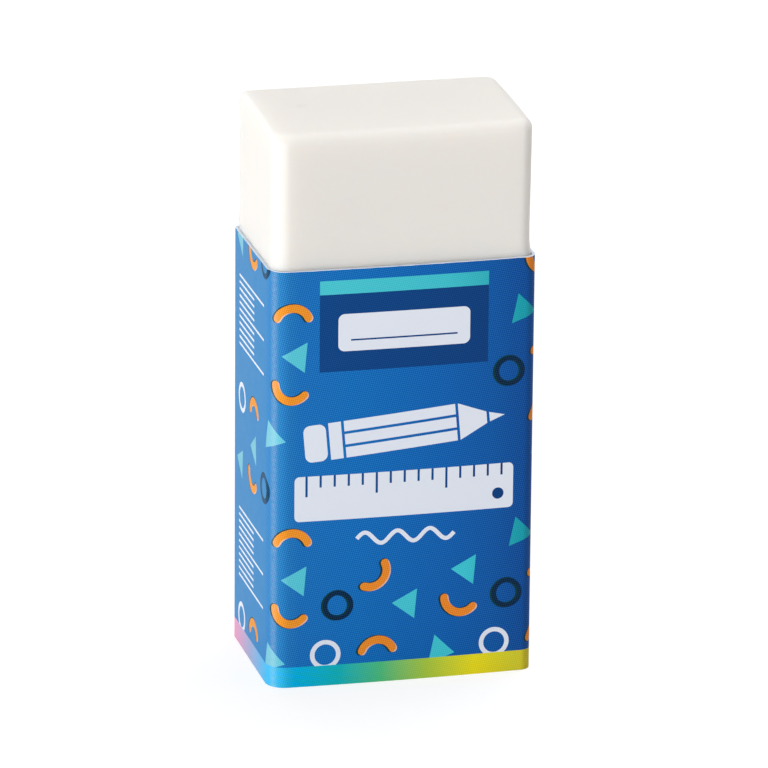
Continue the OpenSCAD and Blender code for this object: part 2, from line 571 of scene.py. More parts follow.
@dataclass(frozen=True)
class DotScreen:
    """The fine screen of dots that an offset print is made of.

    Attributes:
        pitch: Distance between dots, in metres.
        angle: Turn of the rows of dots, in degrees.
    """

    pitch: float = 0.145 * MM
    angle: float = 15.0

    def share(self, tree: Tree, on_sheet: Socket) -> Socket:
        """Adds the screen to a material.

        Args:
            tree: The material's tree.
            on_sheet: The place on the flat sheet, in metres.

        Returns:
            A number from 0 in the middle of the dots to 1 in the middle of the gaps between them.
        """
        scale = 2 * math.pi / self.pitch
        inputs = {"Vector": on_sheet, "Scale": (scale,) * 3, "Rotation": (0, 0, math.radians(self.angle))}
        place = add_node(tree, "ShaderNodeMapping", inputs).outputs[0]
        parts = add_node(tree, "ShaderNodeSeparateXYZ", {0: place})
        waves = math_node(
            tree,
            "ADD",
            math_node(tree, "SINE", parts.outputs["X"]),
            math_node(tree, "SINE", parts.outputs["Y"]),
        )
        swing = 1.4
        return ranged(tree, waves, (-swing, swing), smooth=True)


@dataclass(frozen=True)
class InkFinish:
    """One printed colour, under a satin varnish.

    Attributes:
        name: Name of the finish.
        stops: Colours by their place s along the sheet, in millimetres. One colour is the same all over.
            Several ramps also carry painted light and shade: lighter over the left panel and its fold, where
            the left lamp falls, and darker towards the right fold.
        contrast: How strongly the dots of the screen change the red, green and blue of the colour.
        gaps: Share of bare paper at the middle of the gaps between the dots.
        roughness: Roughness of the varnish.
        gloss: How strongly the varnish reflects.
        paling: How much paler the ink turns in a streak along the fold beside the left panel: painted sheen
            of the left lamp on that fold, with some rubbed ink.
        streak_place: How far the middle of that streak lies before the fold's end, in fold radii.
        streak_reach: Half the width of the streak, in fold radii.
    """

    name: str
    stops: tuple[tuple[float, Colour], ...]
    contrast: Colour = (0.0, 0.0, 0.0)
    gaps: float = 0.0
    roughness: float = 0.4
    gloss: float = 0.08
    paling: float = 0.1
    streak_place: float = 0.73
    streak_reach: float = 0.31

    def base_colour(self, tree: Tree, along: Socket, span: Point) -> object:
        """The colour along the sheet: one colour, or a ramp through the stops.

        Args:
            tree: The material's tree.
            along: The place along the sheet, from 0 to 1.
            span: Where the sheet starts and ends, in millimetres.

        Returns:
            A colour, or the output of the ramp.
        """
        if len(self.stops) == 1:
            return self.stops[0][1]
        ramp = add_node(tree, "ShaderNodeValToRGB", {"Fac": along})
        bands = ramp.color_ramp.elements
        while len(bands) < len(self.stops):
            bands.new(0.5)
        for band, (place, colour) in zip(bands, self.stops):
            band.position = (place - span[0]) / (span[1] - span[0])
            band.color = opaque(colour)
        return ramp.outputs["Color"]

    def material(self, size: SleeveSize, screen: DotScreen) -> Material:
        """Makes the material.

        Args:
            size: Sizes of the sleeve, whose sheet the pattern follows.
            screen: The dots of the print.

        Returns:
            The material.
        """
        material, tree, shader = new_material(self.name)
        length = size.seam_end - size.flap_end
        place = add_node(tree, "ShaderNodeUVMap", uv_map=CardSleeve.UV_MAP).outputs[0]
        inputs = {"Vector": place, "Scale": (length,) * 3}
        on_sheet = add_node(tree, "ShaderNodeMapping", inputs).outputs[0]
        along = add_node(tree, "ShaderNodeSeparateXYZ", {0: place}).outputs["X"]
        span = (size.flap_end / MM, size.seam_end / MM)
        colour = self.base_colour(tree, along, span)
        darker = tinted(tree, colour, tuple(1 - c for c in self.contrast))
        lighter = tinted(tree, colour, tuple(1 + c for c in self.contrast))
        light = screen.share(tree, on_sheet)
        colour = mix_colours(tree, light, darker, lighter)
        narrow, paper = 5, (0.85, 0.86, 0.88)
        gap = math_node(tree, "MULTIPLY", math_node(tree, "POWER", light, narrow), self.gaps)
        colour = mix_colours(tree, gap, colour, paper)
        # Painted sheen with some rubbed ink: the colour turns paler in a streak along the fold beside the
        # left panel.
        colour = mix_colours(tree, self.sheen_and_wear_share(tree, on_sheet, size), colour, paper)
        tree.links.new(colour, shader.inputs["Base Color"])
        mottle, spread = noise_share(tree, object_point(tree), 900.0), 0.05
        rough = ranged(tree, mottle, (0.0, 1.0), (self.roughness - spread, self.roughness + spread))
        tree.links.new(rough, shader.inputs["Roughness"])
        shader.inputs["Specular IOR Level"].default_value = self.gloss
        fibres = noise_share(tree, object_point(tree), 2600.0, detail=3.0)
        add_bump(tree, shader, fibres, strength=0.16, depth=0.01 * MM)
        return material

    def sheen_and_wear_share(self, tree: Tree, on_sheet: Socket, size: SleeveSize) -> Socket:
        """Adds a paler streak along the fold beside the left panel, broken up by noise: painted sheen of the
        left lamp on that fold, with some rubbed ink.

        Args:
            tree: The material's tree.
            on_sheet: The place on the flat sheet, in metres.
            size: Sizes of the sleeve, which say where the fold is.

        Returns:
            The share of worn colour.
        """
        from_start = add_node(tree, "ShaderNodeSeparateXYZ", {0: on_sheet}).outputs["X"]
        s = math_node(tree, "ADD", from_start, size.flap_end)
        fold = size.left_front
        line = fold.side * (fold.end - self.streak_place * fold.radius)
        away = math_node(tree, "ABSOLUTE", math_node(tree, "SUBTRACT", s, line))
        near = ranged(tree, away, (0.0, self.streak_reach * fold.radius), (1.0, 0.0), smooth=True)
        streak_noise = noise_share(tree, on_sheet, 4200.0, detail=4.0, roughness=0.7)
        broken = ranged(tree, streak_noise, (0.2, 0.8), (0.0, 2.0))
        return math_node(tree, "MULTIPLY", math_node(tree, "MULTIPLY", near, broken), self.paling)


@dataclass(frozen=True)
class BoardFinish:
    """Bare board, white on the inside of the sleeve and stained by the ink on its cut edges.

    Attributes:
        name: Name of the finish.
        colour: Colour of the board.
        fleck: Colour of the greyer fibres in it.
    """

    name: str = "bare_board"
    colour: Colour = (0.86, 0.87, 0.87)
    fleck: Colour = (0.70, 0.71, 0.70)

    def material(self) -> Material:
        """Makes the material."""
        material, tree, shader = new_material(self.name)
        fibres = noise_share(tree, object_point(tree), 5200.0, detail=4.0, roughness=0.6)
        colour = mix_colours(tree, ranged(tree, fibres, (0.5, 0.8)), self.colour, self.fleck)
        tree.links.new(colour, shader.inputs["Base Color"])
        shader.inputs["Roughness"].default_value = 0.85
        shader.inputs["Specular IOR Level"].default_value = 0.2
        add_bump(tree, shader, fibres, strength=0.5, depth=0.02 * MM)
        return material


@dataclass(frozen=True)
class VinylFinish:
    """Matt white vinyl, which light enters a little way.

    Attributes:
        name: Name of the finish.
        colour: Main colour.
        warm: Slightly warmer tint, in soft clouds.
        smudge: Colour of a faint grey mark.
        smudge_place: Middle of that mark, in millimetres in the frame.
        smudge_radius: Its radius in millimetres.
    """

    name: str = "white_vinyl"
    colour: Colour = (0.825, 0.805, 0.770)
    warm: Colour = (0.835, 0.80, 0.755)
    smudge: Colour = (0.62, 0.63, 0.62)
    smudge_place: tuple[float, float, float] = (-5.9, 0.5, 40.6)
    smudge_radius: float = 0.55

    def material(self) -> Material:
        """Makes the material."""
        material, tree, shader = new_material(self.name)
        place = object_point(tree)
        clouds = noise_share(tree, place, 140.0)
        colour = mix_colours(tree, clouds, self.colour, self.warm)
        colour = mix_colours(tree, self.smudge_share(tree, place), colour, self.smudge)
        tree.links.new(colour, shader.inputs["Base Color"])
        tree.links.new(ranged(tree, clouds, (0.0, 1.0), (0.5, 0.66)), shader.inputs["Roughness"])
        shader.inputs["Specular IOR Level"].default_value = 0.35
        shader.inputs["Subsurface Weight"].default_value = 0.8
        shader.inputs["Subsurface Radius"].default_value = (1.0, 0.9, 0.8)
        shader.inputs["Subsurface Scale"].default_value = 1.8 * MM
        grain = noise_share(tree, place, 2400.0, detail=4.0, roughness=0.6)
        add_bump(tree, shader, grain, strength=0.3, depth=0.012 * MM)
        return material

    def smudge_share(self, tree: Tree, place: Socket) -> Socket:
        """Adds the faint mark: strongest at its middle, broken up by noise, nothing past its radius."""
        centre = tuple(x * MM for x in self.smudge_place)
        away = add_node(tree, "ShaderNodeVectorMath", {0: place, 1: centre}, operation="DISTANCE")
        fade = ranged(tree, away.outputs["Value"], (0.0, self.smudge_radius * MM), (0.5, 0.0))
        return math_node(tree, "MULTIPLY", fade, noise_share(tree, place, 1800.0))


@dataclass(frozen=True)
class ConfettiPattern:
    """The pattern of arcs, rings and triangles, one tile that repeats over the sheet.

    Lengths are in millimetres on the flat sheet.

    Attributes:
        tile_width: How far the pattern repeats along the sheet.
        tile_height: How far it repeats up the sheet.
        stroke: Width of the line of the arcs.
        ring_stroke: Width of the line of the rings.
        arc_radius: Radius of the arcs, along the middle of their line.
        arc_half_angle: Half the angle that an arc runs through, in degrees.
        ring_radius: Radius of the rings, along the middle of their line.
        triangle_base: Longest side of a triangle.
        triangle_height: Height of a triangle over that side.
        plate_shifts: How far the warm inks are printed off their place.
        tile: Each motif of the tile: its kind, its place, and its turn in degrees.
        clear: Fields that the motifs leave clear: from s to s, from z to z.
    """

    tile_width: float = 12.2
    tile_height: float = 16.4
    stroke: float = 0.6
    ring_stroke: float = 0.33
    arc_radius: float = 1.2
    arc_half_angle: float = 68.0
    ring_radius: float = 0.935
    triangle_base: float = 2.2
    triangle_height: float = 1.73
    plate_shifts: tuple[Point, ...] = ((-0.14, -0.01), (-0.07, 0.06))
    tile: tuple[tuple[Layer, float, float, float], ...] = (
        (Layer.TRIANGLE, -9.5, 2.0, -12),
        (Layer.WHITE_RING, -5.5, 2.3, 0),
        (Layer.WARM_ARC, -1.75, 2.4, 182),
        (Layer.DARK_RING, -4.6, 5.9, 0),
        (Layer.TRIANGLE, 0.4, 5.7, 175),
        (Layer.WARM_ARC, -8.1, 5.5, -21),
        (Layer.TRIANGLE, -7.55, 7.9, 175),
        (Layer.WARM_ARC, -2.0, 8.0, 48),
        (Layer.WARM_ARC, -7.9, 10.7, 180),
        (Layer.TRIANGLE, -3.7, 10.3, -12),
        (Layer.WARM_ARC, -2.2, 13.8, -18),
        (Layer.DARK_RING, -10.7, 14.25, 0),
        (Layer.TRIANGLE, -5.9, 13.8, 175),
        (Layer.TRIANGLE, -1.7, 16.1, 183),
    )
    clear: tuple[tuple[float, float, float, float], ...] = (
        (-6.5, 7.5, 9.3, 40),
        (-9.4, 10.3, 12, 17),
        (-21.5, -9.9, 4.6, 11.5),
        (-21.5, -9.9, 21, 27.6),
    )

    MOTIFS = (Layer.WARM_ARC, Layer.DARK_RING, Layer.WHITE_RING, Layer.TRIANGLE)

    def arc_outline(self) -> Outline:
        """Arc with round ends, open upwards, about the middle of its chord."""
        centre = (0.0, self.arc_radius * math.cos(math.radians(self.arc_half_angle)))
        start, sweep, half = -90 - self.arc_half_angle, 2 * self.arc_half_angle, self.stroke / 2
        outer = arc_points(centre, self.arc_radius + half, start, sweep, steps=18)
        inner = arc_points(centre, self.arc_radius - half, start + sweep, -sweep, steps=12)
        ends = (start + sweep, start)
        right_end, left_end = (arc_points(centre, self.arc_radius, a, 0, 1)[0] for a in ends)
        right_cap = arc_points(right_end, half, start + sweep, 180, steps=7)[1:-1]
        left_cap = arc_points(left_end, half, start + 180, 180, steps=7)[1:-1]
        return outer + right_cap + inner + left_cap

    def ring_outlines(self) -> list[Outline]:
        """Ring about its middle, as a closed row of four-sided patches."""
        steps, half = 30, self.ring_stroke / 2
        outer = arc_points((0, 0), self.ring_radius + half, 0, 360, steps)
        inner = arc_points((0, 0), self.ring_radius - half, 0, 360, steps)
        return [[inner[i], outer[i], outer[i + 1], inner[i + 1]] for i in range(steps)]

    def triangle_outline(self) -> Outline:
        """Triangle about its middle, with a corner towards +X."""
        foot = -self.triangle_height / 3
        half = self.triangle_base / 2
        return [(foot + self.triangle_height, 0), (foot, half), (foot, -half)]

    def motif_outlines(self, layer: Layer) -> list[Outline]:
        """The flat patches that make up one motif."""
        if layer == Layer.WARM_ARC:
            return [self.arc_outline()]
        if layer == Layer.TRIANGLE:
            return [self.triangle_outline()]
        return self.ring_outlines()

    def motif_collection(self) -> bpy.types.Collection:
        """Makes one object for each kind of motif, in a collection that keeps their order."""
        group = bpy.data.collections.new("confetti_motifs")
        for number, layer in enumerate(self.MOTIFS):
            points = []
            faces = []
            for outline in self.motif_outlines(layer):
                faces.append(range(len(points), len(points) + len(outline)))
                points += [(x, z, 0) for x, z in outline]
            name = f"motif_{number}_{layer.name.lower()}"
            group.objects.link(bpy.data.objects.new(name, new_mesh(name, points, faces)))
        return group

    def tile_mesh(self) -> Mesh:
        """One point for each motif of the tile, with its kind and its turn."""
        mesh = new_mesh("confetti_tile", [(s, z, 0) for _, s, z, _ in self.tile], [])
        add_numbers(mesh, "kind", [self.MOTIFS.index(motif[0]) for motif in self.tile], "INT", "POINT")
        add_numbers(mesh, "turn", [math.radians(motif[3]) for motif in self.tile], "FLOAT", "POINT")
        return mesh

    def repeat_tree(self, materials: Sequence[Material]) -> GeometryTree:
        """Builds the tree that repeats the tile over a grid and sets a motif on each of its points."""
        tree = GeometryTree("confetti_repeat")
        tile = tree.entry.outputs["Geometry"]
        motifs = tree.add_input("Motifs", "NodeSocketCollection")
        pitch_s, pitch_z = tree.add_input("Tile Width"), tree.add_input("Tile Height")
        first_s = tree.add_input("First Column")
        columns, rows = (tree.add_input(name, "NodeSocketInt") for name in ("Columns", "Rows"))
        width = tree.math("MULTIPLY", pitch_s, tree.math("SUBTRACT", columns, 1))
        height = tree.math("MULTIPLY", pitch_z, tree.math("SUBTRACT", rows, 1))
        inputs = {"Size X": width, "Size Y": height, "Vertices X": columns, "Vertices Y": rows}
        grid = tree.node("GeometryNodeMeshGrid", inputs).outputs["Mesh"]
        middle_s = tree.math("ADD", tree.math("MULTIPLY", pitch_s, first_s), tree.math("DIVIDE", width, 2))
        middle = tree.node("ShaderNodeCombineXYZ", {"X": middle_s, "Y": tree.math("DIVIDE", height, 2)})
        inputs = {"Geometry": grid, "Translation": middle.outputs[0]}
        grid = tree.node("GeometryNodeTransform", inputs).outputs[0]
        tiles = tree.node("GeometryNodeInstanceOnPoints", {"Points": grid, "Instance": tile}).outputs[0]
        points = tree.node("GeometryNodeRealizeInstances", {"Geometry": tiles}).outputs[0]
        inputs = {"Collection": motifs, "Separate Children": True, "Reset Children": True}
        choice = tree.node("GeometryNodeCollectionInfo", inputs).outputs[0]
        turn = tree.node("ShaderNodeCombineXYZ", {"Z": tree.named_number("turn", "FLOAT")}).outputs[0]
        inputs = {
            "Points": points,
            "Instance": choice,
            "Pick Instance": True,
            "Instance Index": tree.named_number("kind", "INT"),
            "Rotation": tree.node("FunctionNodeEulerToRotation", {"Euler": turn}).outputs[0],
        }
        placed = tree.node("GeometryNodeInstanceOnPoints", inputs).outputs[0]
        tree.close(placed, "kind", materials)
        return tree

    def is_clear(self, s: float, z: float) -> bool:
        """Whether a place is in one of the clear fields."""
        return any(s0 < s < s1 and z0 < z < z1 for s0, s1, z0, z1 in self.clear)

    def middle_of(self, outline: Outline) -> Point:
        """The mean of an outline's points."""
        count = len(outline)
        return sum(p[0] for p in outline) / count, sum(p[1] for p in outline) / count

    def patches(self, sheet: tuple[float, float, float]) -> Patches:
        """Lays the pattern out over the sheet.

        Args:
            sheet: Where the sheet starts and ends along s, and its height.

        Returns:
            Each patch with its layer. The warm motifs come twice, the second time off their place.
        """
        first = math.floor(sheet[0] / self.tile_width)
        values = {
            "Motifs": self.motif_collection(),
            "Tile Width": self.tile_width,
            "Tile Height": self.tile_height,
            "First Column": float(first),
            "Columns": math.ceil(sheet[1] / self.tile_width) + 1 - first,
            "Rows": math.floor(sheet[2] / self.tile_height) + 1,
        }
        materials = [bpy.data.materials.new(layer.name.lower()) for layer in self.MOTIFS]
        mesh = self.repeat_tree(materials).run(self.tile_mesh(), values)
        kinds = mesh.attributes["kind"].data
        layers = [self.MOTIFS[kinds[face.vertices[0]].value] for face in mesh.polygons]
        found = []
        for layer, outline in zip(layers, outlines_of(mesh)):
            if self.keeps(layer, outline):
                found.append((layer, outline))
                if layer in (Layer.WARM_ARC, Layer.DARK_RING):
                    found += [(Layer.WARM_PLATE, shifted(outline, shift)) for shift in self.plate_shifts]
        for motif in values["Motifs"].objects:
            bpy.data.objects.remove(motif)
        bpy.data.collections.remove(values["Motifs"])
        bpy.data.meshes.remove(mesh)
        return found

    def keeps(self, layer: Layer, outline: Outline) -> bool:
        """Whether a patch is printed: the motif that it belongs to has its place outside the clear fields."""
        s, z = self.middle_of(outline)
        near = min(self.places(layer), key=lambda place: math.hypot(place[0] - s, place[1] - z))
        return not self.is_clear(*near)

    def places(self, layer: Layer) -> list[Point]:
        """All places of one kind of motif, over more tiles than the sheet needs."""
        columns, rows = range(-3, 6), range(3)
        return [
            (s + column * self.tile_width, z + row * self.tile_height)
            for kind, s, z, _ in self.tile
            if kind == layer
            for column in columns
            for row in rows
        ]


@dataclass(frozen=True)
class TickScale:
    """A row of tick marks like those of a ruler, some of them longer.

    Lengths are in millimetres on the flat sheet.

    Attributes:
        start: Foot of the first mark.
        step: From one mark to the next.
        direction: Which way the marks run from their feet.
        count: How many marks there are.
        thickness: Thickness of a mark.
        short: Length of a mark.
        long: Length of a long mark.
        every: The first mark is a long one, and so is each after this many.
    """

    start: Point
    step: Point
    direction: Point
    count: int
    thickness: float
    short: float
    long: float
    every: int = 5

    def tree(self) -> GeometryTree:
        """Builds the tree that sets one bar on each place of a line and stretches it to its length."""
        tree = GeometryTree("tick_scale")
        bar = tree.entry.outputs["Geometry"]
        start, step = (tree.add_input(name, "NodeSocketVector") for name in ("Start", "Step"))
        count, every = (tree.add_input(name, "NodeSocketInt") for name in ("Count", "Every"))
        short, long, angle = (tree.add_input(name) for name in ("Short", "Long", "Angle"))
        inputs = {"Count": count, "Start Location": start, "Offset": step}
        line = tree.node("GeometryNodeMeshLine", inputs, mode="OFFSET", count_mode="TOTAL").outputs[0]
        index = tree.node("GeometryNodeInputIndex").outputs[0]
        is_long = tree.is_equal(tree.math("MODULO", index, every), 0)
        inputs = {"False": short, "True": long, "Switch": is_long}
        length = tree.node("GeometryNodeSwitch", inputs, input_type="FLOAT").outputs[0]
        turn = tree.node("ShaderNodeCombineXYZ", {"Z": angle}).outputs[0]
        inputs = {
            "Points": line,
            "Instance": bar,
            "Rotation": tree.node("FunctionNodeEulerToRotation", {"Euler": turn}).outputs[0],
            "Scale": tree.node("ShaderNodeCombineXYZ", {"X": length, "Y": 1, "Z": 1}).outputs[0],
        }
        placed = tree.node("GeometryNodeInstanceOnPoints", inputs).outputs[0]
        tree.close(placed, "kind", [bpy.data.materials.new("tick")])
        return tree

    def outlines(self) -> list[Outline]:
        """Lays the marks out on the sheet."""
        half = self.thickness / 2
        bar = new_mesh("tick_bar", [(0, -half, 0), (1, -half, 0), (1, half, 0), (0, half, 0)], [(0, 1, 2, 3)])
        values = {
            "Start": (*self.start, 0.0),
            "Step": (*self.step, 0.0),
            "Count": self.count,
            "Every": self.every,
            "Short": self.short,
            "Long": self.long,
            "Angle": math.atan2(self.direction[1], self.direction[0]),
        }
        mesh = self.tree().run(bar, values)
        found = outlines_of(mesh)
        bpy.data.meshes.remove(mesh)
        return found


@dataclass(frozen=True)
class PanelArt:
    """The label field and the plain white signs on the front and left panels.

    Lengths are in millimetres on the flat sheet.

    Attributes:
        label_width: Width of the label field.
        label_top: Height of its upper edge.
        label_height: Height of the field, with its bar.
        bar_height: Height of the bar along its top.
        label_shift: How far the label sits off the middle of the panel.
        pencil_middle: Middle of the pencil sign.
        ruler_middle: Middle of the ruler sign.
        wave_height: Height of the wavy line.
    """

    label_width: float = 12.03
    label_top: float = 29.7
    label_height: float = 6.6
    bar_height: float = 1.0
    label_shift: float = -0.01
    pencil_middle: Point = (0.1, 18.5)
    ruler_middle: Point = (0.1, 13.9)
    wave_height: float = 10.75

    def label(self) -> Patches:
        """Label field with its bar and a blank name plate."""
        left, right = (self.label_shift + side * self.label_width / 2 for side in (-1, 1))
        foot, bar_foot = self.label_top - self.label_height, self.label_top - self.bar_height
        plate_width, plate_height, corner = 9.4, 2.7, 0.45
        middle = (self.label_shift, (foot + bar_foot) / 2)
        line_inset, line_drop, line_half = 0.9, 0.55, 0.06
        line = (middle[0] - plate_width / 2 + line_inset, middle[1] - line_drop - line_half)
        line_end = (middle[0] + plate_width / 2 - line_inset, middle[1] - line_drop + line_half)
        return [
            (Layer.DEEP_FIELD, rectangle(left, foot, right, bar_foot)),
            (Layer.TURQUOISE_FIELD, rectangle(left, bar_foot, right, self.label_top)),
            (Layer.WHITE_ART, rounded_rectangle(middle, plate_width, plate_height, corner)),
            (Layer.LINE_ON_WHITE, rectangle(*line, *line_end)),
        ]

    def pencil(self) -> Patches:
        """Pencil seen from its side: rubber, ferrule, three facets of the shaft, wood and lead."""
        length, height, tilt = 14.4, 2.7, 5.0
        x0, z0 = self.pencil_middle[0] - length / 2, self.pencil_middle[1]
        half, gap = height / 2, 0.2
        rubber_end, ferrule_end, shaft_end, wood_end = 1.6, 2.7, 10.9, 13.1
        lead_half = 0.42
        facet = (height - 2 * gap) / 3
        parts = [rounded_rectangle((x0 + rubber_end / 2, z0), rubber_end, height, 0.5)]
        parts.append(rectangle(x0 + rubber_end + gap, z0 - half, x0 + ferrule_end, z0 + half))
        for i in range(3):
            foot = z0 - half + i * (facet + gap)
            parts.append(rectangle(x0 + ferrule_end + gap, foot, x0 + shaft_end, foot + facet))
        wood_start = x0 + shaft_end + gap
        parts.append([
            (wood_start, z0 - half),
            (x0 + wood_end, z0 - lead_half),
            (x0 + wood_end, z0 + lead_half),
            (wood_start, z0 + half),
        ])
        lead_start = x0 + wood_end + gap
        lead_foot, lead_top = z0 - lead_half + gap / 3, z0 + lead_half - gap / 3
        parts.append([(lead_start, lead_foot), (x0 + length, z0), (lead_start, lead_top)])
        return [(Layer.WHITE_ART, turned(part, tilt, self.pencil_middle)) for part in parts]

    def ruler(self) -> Patches:
        """Ruler with tick marks and a hole to hang it by."""
        width, height, corner = 15.7, 3.3, 0.35
        edge_gap, hole_inset, hole_radius = 0.85, 1.1, 0.42
        top = self.ruler_middle[1] + height / 2
        left, right = self.ruler_middle[0] - width / 2, self.ruler_middle[0] + width / 2
        ticks = TickScale(
            start=(left + edge_gap, top),
            step=(1.0, 0.0),
            direction=(0, -1),
            count=15,
            thickness=0.16,
            short=0.85,
            long=1.5,
        )
        hole = arc_points((right - hole_inset, top - height + hole_inset), hole_radius, 0, 345, steps=23)
        found = [(Layer.WHITE_ART, rounded_rectangle(self.ruler_middle, width, height, corner))]
        found += [(Layer.LINE_ON_WHITE, outline) for outline in ticks.outlines()]
        return found + [(Layer.LINE_ON_WHITE, hole)]

    def wave(self) -> Patches:
        """Wavy line under the signs, as a row of four-sided patches."""
        start, length, swing, half, waves, steps = -3.3, 7.0, 0.42, 0.15, 3, 48
        places = [start + length * i / steps for i in range(steps + 1)]
        turn = 2 * math.pi * waves / length
        heights = [self.wave_height + swing * math.sin(turn * (x - start)) for x in places]
        slopes = [swing * turn * math.cos(turn * (x - start)) for x in places]
        lower, upper = [], []
        for x, z, slope in zip(places, heights, slopes):
            across = half / math.hypot(1, slope)
            lower.append((x + slope * across, z - across))
            upper.append((x - slope * across, z + across))
        return [
            (Layer.WHITE_ART, [lower[i], lower[i + 1], upper[i + 1], upper[i]])
            for i in range(steps)
        ]

    def side_scales(self) -> Patches:
        """Two short scales of tick marks on the left panel."""
        start_s, feet, pitch = -18.6, (5.3, 22.5), 0.5
        found = []
        for foot in feet:
            scale = TickScale(
                start=(start_s, foot),
                step=(0.0, pitch),
                direction=(1, 0),
                count=11,
                thickness=0.17,
                short=4.6,
                long=7.6,
            )
            found += [(Layer.WHITE_ART, outline) for outline in scale.outlines()]
        return found

    def patches(self) -> Patches:
        """All of the art, each patch with its layer."""
        return self.label() + self.pencil() + self.ruler() + self.wave() + self.side_scales()


class FlatSheet:
    """The unfolded sheet, cut into patches along the outlines of everything printed on it."""

    TOLERANCE = 1e-4

    def __init__(self) -> None:
        """Starts an empty sheet."""
        self.points: list[Vector] = []
        self.lines: list[tuple[int, int]] = []
        self.outlines: list[list[int]] = []
        self.layers: list[Layer] = []

    def add(self, layer: Layer, outline: Outline) -> None:
        """Adds an outline, anticlockwise, which the triangulation needs to tell its inside."""
        area = sum(a[0] * b[1] - b[0] * a[1] for a, b in zip(outline, outline[1:] + outline[:1]))
        corners = outline if area > 0 else outline[::-1]
        first = len(self.points)
        self.points += [Vector(p) for p in corners]
        self.outlines.append(list(range(first, len(self.points))))
        self.layers.append(layer)

    def add_line(self, start: Point, end: Point) -> None:
        """Adds a line that the patches are cut along, so that the sheet bends there."""
        first = len(self.points)
        self.points += [Vector(start), Vector(end)]
        self.lines.append((first, first + 1))

    def cut(self) -> tuple[list[Point], list[tuple[int, ...]], list[Ink]]:
        """Cuts the sheet into triangles. What lies past its edges is trimmed off.

        Returns:
            The points, the triangles, and the ink that each triangle shows.
        """
        inside_only = 1
        points, _, faces, _, _, sources = delaunay_2d_cdt(
            self.points, self.lines, self.outlines, inside_only, self.TOLERANCE, True
        )
        found = [(face, {self.layers[k] for k in source}) for face, source in zip(faces, sources)]
        kept = [(face, layers) for face, layers in found if Layer.SHEET in layers]
        used = sorted({i for face, _ in kept for i in face})
        number = {old: new for new, old in enumerate(used)}
        triangles = [tuple(number[i] for i in face) for face, _ in kept]
        return [tuple(points[i]) for i in used], triangles, [ink_of(layers) for _, layers in kept]


